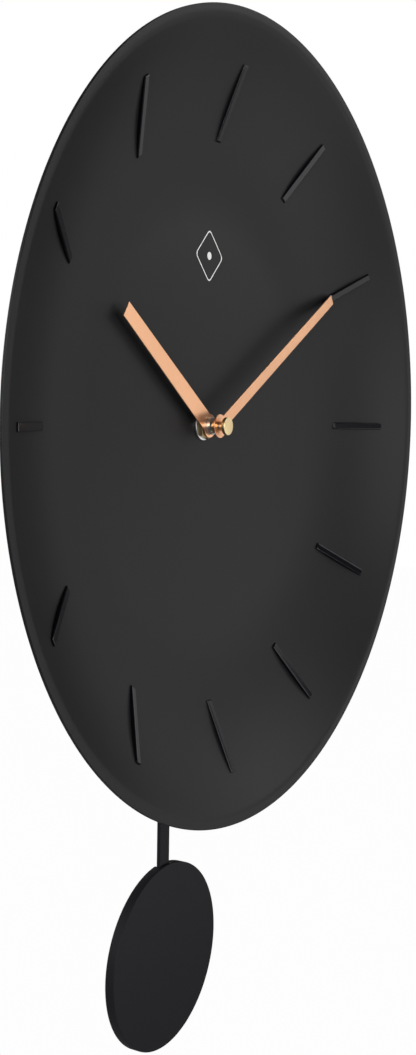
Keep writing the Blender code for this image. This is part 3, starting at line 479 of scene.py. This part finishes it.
def make_bar(number):
    """Hour bar: straight chamfered front, upright sides and a base that follows the dish."""
    (r_in, d_in), (r_out, d_out) = MARKER_IN, MARKER_OUT
    c, half, stations = MARKER_CHAMFER, MARKER_WIDTH / 2, 14
    along = [0.0, c] + [c + (r_out - r_in - 2 * c) * i / stations for i in range(1, stations)]
    along += [r_out - r_in - c, r_out - r_in]
    shape = bmesh.new()
    low, side, top = [], [], []
    for s in along:
        r = r_in + s
        front = at_depth(d_in + (d_out - d_in) * s / (r_out - r_in))
        base = at_depth(dial_depth(r)) + 0.05 * MM  # let into the paint
        low.append([shape.verts.new((x, base, r)) for x in (-half, half)])
        side.append([shape.verts.new((x, front + c * 0.8, r)) for x in (-half, half)])
        top.append([shape.verts.new((x, front, r)) for x in (c - half, half - c)])
    for k in range(len(along) - 1):
        for a, b in ((low, side), (side, top)):
            if a is side and k in (0, len(along) - 2):
                continue
            for x in (0, 1):
                shape.faces.new((a[k][x], a[k + 1][x], b[k + 1][x], b[k][x]))
        shape.faces.new((low[k][0], low[k][1], low[k + 1][1], low[k + 1][0]))
        if 0 < k < len(along) - 2:
            shape.faces.new((top[k][0], top[k + 1][0], top[k + 1][1], top[k][1]))
    for end, inside in ((0, 1), (-1, -2)):
        for vert in top[end]:
            shape.verts.remove(vert)
        for x in (0, 1):
            shape.faces.new((side[end][x], side[inside][x], top[inside][x]))
        shape.faces.new((side[end][0], side[end][1], top[inside][1], top[inside][0]))
        shape.faces.new((low[end][0], low[end][1], side[end][1], side[end][0]))
    name = f"hour_bar_{number:02d}"
    obj = piece(name, tidy_mesh(name, shape), "bar", "root", [f"hour_marker_{number:02d}"],
                clock_turn(30 * number), smooth=20)
    bevel = obj.modifiers.new("edges", "BEVEL")
    bevel.width, bevel.segments, bevel.limit_method = 0.12 * MM, 2, "ANGLE"
    bevel.angle_limit = math.radians(20)
    even_normals(obj)


def make_mark():
    """A generic printed mark above the centre: the outline of a lozenge with a dot in it."""
    reach, line = 10.2 * MM, 0.42 * MM
    x, z = 3.2 * MM, 64.8 * MM
    y = at_depth(dial_depth(math.hypot(x, z)))

    def printed(name, loops):
        return slab(name, loops, y - 0.01 * MM, y - 0.05 * MM, 0.01 * MM, 1)

    def lozenge(shrink):
        size = reach - shrink
        corners = ((size, 0), (0, size), (-size, 0), (0, -size))
        return [(x + a, z + b) for a, b in soften(corners, 2.0 * MM, 6)]

    shape = bmesh.new()
    shape.from_mesh(printed("mark_lozenge", [lozenge(0), lozenge(line * 1.4)]))
    shape.from_mesh(printed("mark_dot", [circle(1.5 * MM, 40, x, z)]))
    for vert in shape.verts:  # the print follows the dish
        vert.co.y += at_depth(dial_depth(math.hypot(vert.co.x, vert.co.z))) - y
    piece("printed_mark", tidy_mesh("printed_mark", shape), "print", "root")


# ---------------------------------------------------------------- hands

HAND_BOSS_RADIUS, HAND_SHEET = 4.5 * MM, 0.5 * MM
HOUR_HAND = {
    "length": 70.5 * MM, "base": 7.2 * MM, "tip": 5.9 * MM, "clock_deg": 305,
    "depth": 21.1 * MM, "bore": 3.35 * MM,
}
MINUTE_HAND = {
    "length": 110.5 * MM, "base": 4.7 * MM, "tip": 4.3 * MM, "clock_deg": 60,
    "depth": 16.5 * MM, "bore": 1.6 * MM,
}

# Rings on the hands' axis: outer radius, inner radius, back and front, as depths behind the rim
FERRULE = (3.3 * MM, 2.8 * MM, 21.8 * MM, 19.5 * MM)
HAND_BUSH = (2.6 * MM, 1.6 * MM, 19.2 * MM, 17.3 * MM)
WASHER = (5.6 * MM, 3.7 * MM, 24.5 * MM, 23.85 * MM)
CAP_RADIUS, CAP_NECK_RADIUS, CAP_BORE_RADIUS = 3.4 * MM, 1.9 * MM, 1.3 * MM
CAP_FRONT, CAP_HEAD_BACK, CAP_BORE_END, CAP_BACK = 12.9 * MM, 14.3 * MM, 14.7 * MM, 16.2 * MM
NUT_ACROSS_FLATS, NUT_CHAMFER, NUT_TURN = 9.2 * MM, 0.7 * MM, math.radians(-15)
NUT_FRONT, NUT_BACK = 21.95 * MM, 23.75 * MM
BUSH_BORE, BUSH_FRONT = 2.8 * MM, 22.15 * MM
THREAD_PITCH, THREAD_DEPTH, THREAD_BACK = 0.75 * MM, 0.32 * MM, 29.2 * MM


def hand_outline(length, base, tip, boss):
    meet = math.asin(base / 2 / boss)
    steps = 48
    angles = [math.pi / 2 + meet + (TURN - 2 * meet) * i / steps for i in range(steps + 1)]
    outline = [(boss * math.cos(a), boss * math.sin(a)) for a in angles]
    return outline + soften([(base / 2, boss), (tip / 2, length), (-tip / 2, length), (-base / 2, boss)],
                            0.25 * MM, 3, closed=False)[1:-1]


def make_hand(name, node, body, length, base, tip, clock_deg, depth, bore):
    """Flat hand with a round boss. It is drawn pointing up and turned to its place."""
    front = at_depth(depth)
    loops = [hand_outline(length, base, tip, HAND_BOSS_RADIUS), circle(bore, 48)]
    mesh = slab(name, loops, front + HAND_SHEET, front, 0.07 * MM, 2)
    obj = piece(name, mesh, "copper", body, [node], clock_turn(clock_deg), smooth=60)
    even_normals(obj)


def make_hub():
    """Everything on the hands' axis in front of the dish."""
    d = at_depth

    def ring(name, finish, slot, body, node, size, edge):
        outer, inner, back, front = size
        profile = soften([(outer, d(front)), (outer, d(back)), (inner, d(back)), (inner, d(front))], edge, 3)
        piece(name, lathe(name, profile, 96), finish, body, [node], smooth=40)

    ring("ferrule_of_hour_hand", "steel", "bright_steel", "hour", "hour_hand_ferrule", FERRULE, 0.12 * MM)
    ring("bush_of_minute_hand", "brass", "brass", "minute", "minute_hand_bush", HAND_BUSH, 0.15 * MM)
    ring("washer_on_dial", "steel", "bright_steel", "root", "dial_washer", WASHER, 0.15 * MM)
    cap = soften([
        (0, d(CAP_FRONT)), (CAP_RADIUS, d(CAP_FRONT)), (CAP_RADIUS, d(CAP_HEAD_BACK)),
        (CAP_NECK_RADIUS, d(CAP_HEAD_BACK)), (CAP_NECK_RADIUS, d(CAP_BACK)), (CAP_BORE_RADIUS, d(CAP_BACK)),
        (CAP_BORE_RADIUS, d(CAP_BORE_END)), (0, d(CAP_BORE_END)),
    ], 0.22 * MM, 5, closed=False)
    mesh = lathe("cap_nut", cap, 96, closed=False)
    piece("cap_nut", mesh, "brass", "minute", ["hand_cap_nut"], smooth=40)
    make_nut()
    make_bush()


def make_nut():
    """Hexagon nut, its corners turned off on the front."""
    half, back, front = NUT_ACROSS_FLATS / 2, at_depth(NUT_BACK), at_depth(NUT_FRONT)
    corner, count = NUT_ACROSS_FLATS / math.sqrt(3), 48
    outline = []
    for i in range(count):
        a = TURN * i / count + NUT_TURN
        r = half / math.cos((a - NUT_TURN) % (TURN / 6) - TURN / 12)
        outline.append((r * math.cos(a), r * math.sin(a)))
    shape = bmesh.new()
    rows = []
    for y, widest in ((back, math.inf), (front + NUT_CHAMFER, math.inf), (front, half * 0.985)):
        ring = []
        for px, pz in outline:
            r = math.hypot(px, pz)
            kept = min(r, widest)
            ring.append(shape.verts.new((px * kept / r, y, pz * kept / r)))
        rows.append(ring)
    for vert, (px, pz) in zip(rows[1], outline):  # the chamfer meets the flats in arcs
        over = (math.hypot(px, pz) - half) / (corner - half)
        vert.co.y = front + 0.12 * MM + NUT_CHAMFER * 0.55 * over
    bore, bevel = BUSH_RADIUS + 0.1 * MM, 0.35 * MM
    for y, r in ((front, bore + bevel), (front + bevel, bore), (back, bore)):
        rows.append([shape.verts.new((px, y, pz)) for px, pz in circle(r, count, start=NUT_TURN)])
    for a, b in zip(rows, rows[1:] + rows[:1]):
        for i in range(count):
            j = (i + 1) % count
            shape.faces.new((a[i], a[j], b[j], b[i]))
    piece("hexagon_nut", tidy_mesh("hexagon_nut", shape), "brass", "root", ["dial_nut"], smooth=25)


def make_bush():
    """Threaded bush: its thread is a ridge that winds round the tube."""
    high, case_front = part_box("threaded_bush")[1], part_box("case_front")[0].y
    end, start = at_depth(BUSH_FRONT), high.y
    thread_back, thread_front = at_depth(THREAD_BACK), end + 0.3 * MM

    def thread(angle, radius, y):
        if radius < BUSH_RADIUS - 1e-6 or not thread_front <= y <= thread_back:
            return 0.0
        phase = (y / THREAD_PITCH + angle / TURN) % 1.0
        return -THREAD_DEPTH * (0.5 + 0.5 * math.cos(TURN * phase))

    length = thread_back - thread_front
    rows = int(length / (THREAD_PITCH / 8))
    collar_front, collar_back = case_front - 1.0 * MM, case_front - 0.3 * MM
    profile = [(BUSH_RADIUS - 0.35 * MM, end)]
    profile += [(BUSH_RADIUS, thread_front + length * i / rows) for i in range(rows + 1)]
    profile += [
        (BUSH_RADIUS, collar_front), (high.x, collar_front), (high.x, collar_back),
        (BUSH_RADIUS, collar_back), (BUSH_RADIUS, start), (BUSH_BORE, start), (BUSH_BORE, end),
    ]
    mesh = lathe("bush_with_thread", profile, 96, height=thread)
    piece("bush_with_thread", mesh, "brass", "root", ["threaded_bush"], smooth=30)


# ---------------------------------------------------------------- pendulum


def make_pendulum():
    """Painted rod and disc, with the weight behind the disc."""
    bob_low, bob_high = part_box("bob_shell")
    rod_low, rod_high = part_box("pendulum_rod")
    low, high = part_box("bob_weight")
    centre_z, radius = (bob_low.z + bob_high.z) / 2, (bob_high.x - bob_low.x) / 2
    front, back = bob_low.y, bob_high.y
    side, sheet, room = rod_high.x, 0.8 * MM, 0.25 * MM

    def rod_room(name, bottom):
        """Room for the rod, open upwards and to the rear."""
        half, top = side + room, bob_high.z + 1 * MM
        corners = [(-half, bottom), (half, bottom), (half, top), (-half, top)]
        return slab(name, [corners], back + 2 * MM, rod_low.y - room, 0.05 * MM, 1)

    profile = soften([
        (0, front), (radius, front), (radius, back), (radius - sheet, back), (radius - sheet, front + sheet),
        (0, front + sheet),
    ], 0.35 * MM, 4, closed=False)
    name = "disc_of_pendulum"
    mesh = lathe(name, profile, 192, z=centre_z, closed=False)
    shell = piece(name, mesh, "pendulum", "pendulum", ["bob_shell"], smooth=40)
    combine(shell, rod_room("disc_notch", centre_z + 20 * MM))

    size = (high.x - low.x) / 2
    profile = soften([(0, low.y), (size, low.y), (size, high.y), (0, high.y)], 0.3 * MM, 3, closed=False)
    mesh = lathe("weight_of_pendulum", profile, 160, z=centre_z, closed=False)
    weight = piece("weight_of_pendulum", mesh, "zinc", "pendulum", ["bob_weight"], smooth=40)
    combine(weight, rod_room("weight_channel", rod_low.z - room))

    name = "strip_of_pendulum"
    outline = rounded_box(-side, side, rod_low.z, rod_high.z, 1.0 * MM, 6)
    mesh = slab(name, [outline, keyhole()], rod_high.y, rod_low.y, 0.18 * MM, 2)
    even_normals(piece(name, mesh, "pendulum", "pendulum", ["pendulum_rod"], smooth=60))


def keyhole():
    """The rod's opening: wide below, to pass the peg's lip, and narrow above, where it hangs."""
    narrow, wide, top = 1.5 * MM, 2.3 * MM, -53.2 * MM
    low, steps = top - 4.5 * MM, 20
    meet = math.acos(narrow / wide)
    upper = [(narrow * math.cos(math.pi * i / steps), top + narrow * math.sin(math.pi * i / steps))
             for i in range(steps + 1)]
    start, span = math.pi - meet, math.pi + 2 * meet
    lower = [start + span * i / (2 * steps) for i in range(2 * steps + 1)]
    return upper + [(wide * math.cos(a), low + wide * math.sin(a)) for a in lower]


# ---------------------------------------------------------------- movement, seen from behind


def middle_of(node):
    low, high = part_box(node)
    return (low + high) / 2


def make_cover():
    """Flat back with the battery window, the knob's hole, countersinks and two moulded signs."""
    (low, high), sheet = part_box("rear_cover"), 1.2 * MM
    window = rounded_box(-27.7 * MM, 27.7 * MM, 17.4 * MM, 33.1 * MM, 0.8 * MM, 4)
    knob = middle_of("setting_knob")
    loops = [rounded_box(low.x, high.x, low.z, high.z, 3 * MM), window, circle(5.5 * MM, 72, knob.x, knob.z)]
    mesh = slab("cover_of_movement", loops, 0.0, -sheet, 0.05 * MM, 2, 0.3 * MM)
    cover = piece("cover_of_movement", mesh, "moulded", "root", ["rear_cover"], smooth=40)
    pivot = middle_of("pendulum_pivot_pin")
    boss = [(1.1 * MM, -1.1 * MM), (2.2 * MM, -1.1 * MM), (2.2 * MM, -5.4 * MM), (1.1 * MM, -5.4 * MM)]
    combine(cover, lathe("boss", boss, 48, pivot.x, pivot.z), "UNION")
    sink = [(0, 0.5 * MM), (2.15 * MM, 0.5 * MM), (2.15 * MM, -0.15 * MM), (1.3 * MM, -1.0 * MM),
            (1.3 * MM, -2 * MM), (0, -2 * MM)]
    for number in range(1, 5):
        place = middle_of(f"cover_screw_{number}")
        combine(cover, lathe("sink", sink, 48, place.x, place.z, closed=False))
    level, reach, half = 14.2 * MM, 1.3 * MM, 0.3 * MM
    plus = cross_outline(19 * MM, level, reach, half)
    left, right = -19 * MM - reach, -19 * MM + reach
    minus = [(left, level - half), (right, level - half), (right, level + half), (left, level + half)]
    for sign in (plus, minus):
        combine(cover, slab("sign", [sign], 0.5 * MM, -0.25 * MM, 0.02 * MM, 1))
    even_normals(cover)


def cross_outline(x, z, reach, half):
    """An upright cross about x, z. reach is an arm's length and half is half its width."""
    arm = [(half, half), (half, reach), (-half, reach), (-half, half)]
    turns = [(1, 0), (0, 1), (-1, 0), (0, -1)]
    return [(x + px * c - pz * s, z + px * s + pz * c) for c, s in turns for px, pz in arm[:3]]


def make_screws():
    """Countersunk screws with a cross recess."""
    top, shank, pitch = -0.1 * MM, 1.0 * MM, 0.6 * MM
    thread_top, rows = -1.4 * MM, 60

    def thread(angle, radius, y):
        on_shank = abs(radius - shank) < 1e-6
        return -0.12 * MM * math.cos(TURN * (y / pitch + angle / TURN)) if on_shank else 0.0

    for number in range(1, 5):
        low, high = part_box(f"cover_screw_{number}")
        x, z = (low.x + high.x) / 2, (low.z + high.z) / 2
        name = f"screw_of_cover_{number}"
        profile = soften([
            (0, top), (1.95 * MM, top), (shank, -1.2 * MM), (shank, low.y + 1 * MM),
            (0.4 * MM, low.y), (0, low.y),
        ], 0.1 * MM, 3, closed=False)
        length = low.y + 2.6 * MM
        threaded = [(shank, thread_top + length * i / rows) for i in range(rows + 1)]
        at = next(i for i, (radius, y) in enumerate(profile) if y < thread_top)
        mesh = lathe(name, profile[:at] + threaded + profile[at:], 48, x, z, closed=False, height=thread)
        screw = piece(name, mesh, "bright", "root", [f"cover_screw_{number}"], smooth=40)
        recess = cross_outline(x, z, 1.15 * MM, 0.24 * MM)
        combine(screw, slab("recess", [recess], 0.5 * MM, -0.9 * MM, 0.02 * MM, 1))


def make_hanger():
    """Bent steel bracket with its slot, held by two rivets."""
    (low, high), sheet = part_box("hanger_bracket"), 1.0 * MM
    half, back = high.x, high.y
    upper = [p for p in rounded_box(-half, half, low.z, high.z, 4 * MM, 10) if p[1] > low.z + 5 * MM]
    slot = rounded_box(-8 * MM, 8 * MM, 39.5 * MM, 45 * MM, 2.7 * MM, 8)
    loops = [[(half, low.z), *upper, (-half, low.z)], slot]
    name = "bracket_of_hanger"
    mesh = slab(name, loops, back, back - sheet, 0.15 * MM, 2)
    bracket = piece(name, mesh, "zinc", "root", ["hanger_bracket"], smooth=40)
    rivets = [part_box("hanger_rivet_1"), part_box("hanger_rivet_2")]
    places = [((a.x + b.x) / 2, -(a.y + b.y) / 2) for a, b in rivets]
    foot = rounded_box(-half, half, -back + 0.2 * MM, -low.y, 1.0 * MM, 4)
    mesh = slab("foot", [foot, *(circle(1.2 * MM, 40, *place) for place in places)],
                low.z + sheet, low.z + 0.01 * MM, 0.15 * MM, 2)
    upright = Matrix.Rotation(math.pi / 2, 4, "X")  # turns a piece's Y axis up
    mesh.transform(upright)
    combine(bracket, mesh, "UNION")
    even_normals(bracket)
    for number, (a, b) in enumerate(rivets, 1):
        head_base = low.z + sheet + 0.02 * MM
        dome = [
            (0, b.z), (0.8 * MM, b.z - 0.05 * MM), (1.5 * MM, b.z - 0.25 * MM), (2.0 * MM, b.z - 0.62 * MM),
            (2.2 * MM, head_base), (1.0 * MM, head_base), (1.0 * MM, a.z), (0, a.z),
        ]
        name = f"rivet_of_hanger_{number}"
        place = Matrix.Translation(((a.x + b.x) / 2, (a.y + b.y) / 2, 0)) @ upright
        piece(name, lathe(name, dome, 64, closed=False), "bright", "root",
              [f"hanger_rivet_{number}"], place, 40)


def make_cell():
    """AA cell lying along X: printed jacket, copper-coloured band, bright ends."""
    low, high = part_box("battery")
    left, shoulder, radius = low.x, high.x - 1.1 * MM, (high.z - low.z) / 2
    band = shoulder - 13 * MM
    ends = [(0, 0), (4.8, 0), (5.0, 0.15), (5.1, 0.5), (6.2, 0.5), (6.4, 0.25), (6.9, 0.45)]
    right = [(6.9, -0.45), (6.4, -0.2), (6.2, -0.45), (5.2, -0.45), (5.0, -0.15), (3.6, -0.1), (2.9, 0.0),
             (2.7, 0.2), (2.7, 0.9), (2.45, 1.1), (0, 1.1)]
    profile = [(r * MM, left + s * MM) for r, s in ends]
    profile += [
        (radius, left + 0.9 * MM), (radius, band - 0.1 * MM), (radius - 0.04 * MM, band),
        (radius, band + 0.1 * MM), (radius, shoulder - 0.9 * MM),
    ]
    profile += [(r * MM, shoulder + s * MM) for r, s in right]
    mesh = lathe("cell", profile, 128, closed=False)
    for face in mesh.polygons:
        middle = face.center
        if math.hypot(middle.x, middle.z) < 6.3 * MM:
            face.material_index = 2
        elif middle.y > band:
            face.material_index = 1
    centre = (low + high) / 2
    lying = Matrix.Translation((0, centre.y, centre.z)) @ Matrix.Rotation(-math.pi / 2, 4, "Z")
    piece("cell", mesh, ["jacket", "jacket_band", "bright"], "cell", ["battery"], lying, 40)


def make_movement():
    refined("case_of_movement", "case_front", "moulded", "root", 0.3 * MM)
    refined("lever_of_pendulum", "pendulum_drive_arm", "moulded", "pendulum", 0.25 * MM)
    refined("knob_for_setting", "setting_knob", "knob", "knob", 0.12 * MM, 40)
    make_cover()
    make_screws()
    make_hanger()
    make_cell()


# ---------------------------------------------------------------- carried-over nodes


CARRIED = {
    "moulded": ["bearing_plate"],
    "acetal": ["hour_wheel", "intermediate_wheel", "third_wheel", "seconds_wheel", "fifth_wheel"],
    "steel": ["centre_wheel_arbor"],
    "bright": ["pendulum_pivot_pin", "battery_contact_positive", "battery_contact_negative", "quartz_crystal",
               "motor_stator"],
    "magnet": ["motor_rotor", "drive_magnet"],
    "wire": ["motor_coil", "drive_coil"],
    "board": ["circuit_board"],
    "rubber": ["rubber_washer"],
}


def dress_carried_nodes():
    for finish, names in CARRIED.items():
        for name in names:
            node = NODES[name]
            node.data.materials.clear()
            node.data.materials.append(FINISHES[finish])


# ---------------------------------------------------------------- studio


def area_light(name, place, aim, size, power):
    data = bpy.data.lights.new(name, "AREA")
    data.shape, data.size, data.energy = "DISK", size, power
    light = bpy.data.objects.new(name, data)
    light.location = place
    light.rotation_mode = "QUATERNION"
    light.rotation_quaternion = (Vector(aim) - Vector(place)).to_track_quat("-Z", "Y")
    bpy.context.scene.collection.objects.link(light)


def white_to_camera(tree, source, target, kind, strength):
    """The studio's surroundings look white, whatever light they give."""
    seen = tree.nodes.new("ShaderNode" + kind)
    seen.inputs["Color"].default_value = (1, 1, 1, 1)
    seen.inputs["Strength"].default_value = strength
    path = tree.nodes.new("ShaderNodeLightPath")
    mix = tree.nodes.new("ShaderNodeMixShader")
    tree.links.new(path.outputs["Is Camera Ray"], mix.inputs[0])
    tree.links.new(source, mix.inputs[1])
    tree.links.new(seen.outputs[0], mix.inputs[2])
    tree.links.new(mix.outputs[0], target)


def make_studio():
    scene = bpy.context.scene
    scene.view_settings.view_transform = "Standard"
    world = bpy.data.worlds.new("studio")
    scene.world = world
    world.use_nodes = True
    tree = world.node_tree
    light = tree.nodes["Background"]
    light.inputs["Color"].default_value = (1, 1, 1, 1)
    light.inputs["Strength"].default_value = 0.03
    white_to_camera(tree, light.outputs[0], tree.nodes["World Output"].inputs["Surface"], "Background", 1.0)
    middle = (0, -0.03, 0)
    area_light("front", (0.0, -1.7, 0.0), middle, 1.0, 13)
    area_light("right_high", (1.3, -1.1, 0.8), middle, 1.0, 7)
    area_light("right", (1.6, -0.8, 0.0), middle, 1.2, 2.4)
    area_light("right_low", (1.05, -1.35, -0.45), middle, 1.0, 5)
    area_light("left", (-1.7, -0.5, 0.35), middle, 1.2, 30)
    area_light("rear_left", (-1.1, 1.2, 0.6), middle, 1.2, 12)
    area_light("rear_right", (0.8, 1.4, 0.2), middle, 1.0, 8)


def make_floor():
    """A plain pale floor, well below the clock as under a wall."""
    size, drop = 12.0, 1.25
    shape = bmesh.new()
    bmesh.ops.create_grid(shape, x_segments=8, y_segments=8, size=size)
    mesh = tidy_mesh("floor", shape)
    floor = bpy.data.objects.new("floor", mesh)
    floor.location = (0, 0, CAD_BOX[0].z - drop)
    bpy.context.scene.collection.objects.link(floor)
    n = Nodes("floor_pale")
    n.link(n.blend(n.noise(2.0), (0.55, 0.55, 0.55, 1), (0.60, 0.60, 0.60, 1)), n.shader.inputs["Base Color"])
    n.set(Roughness=0.9, Specular_IOR_Level=0.1)
    surface = n.tree.nodes["Material Output"].inputs["Surface"]
    white_to_camera(n.tree, n.shader.outputs[0], surface, "Emission", 0.985)
    mesh.materials.append(n.material)


aim_camera()
FINISHES = make_finishes()
make_dial()
for hour in range(1, 13):
    make_bar(hour)
make_mark()
make_hand("hour_hand_blade", "hour_hand", "hour", **HOUR_HAND)
make_hand("minute_hand_blade", "minute_hand", "minute", **MINUTE_HAND)
make_hub()
make_pendulum()
make_movement()
dress_carried_nodes()
make_studio()
make_floor()
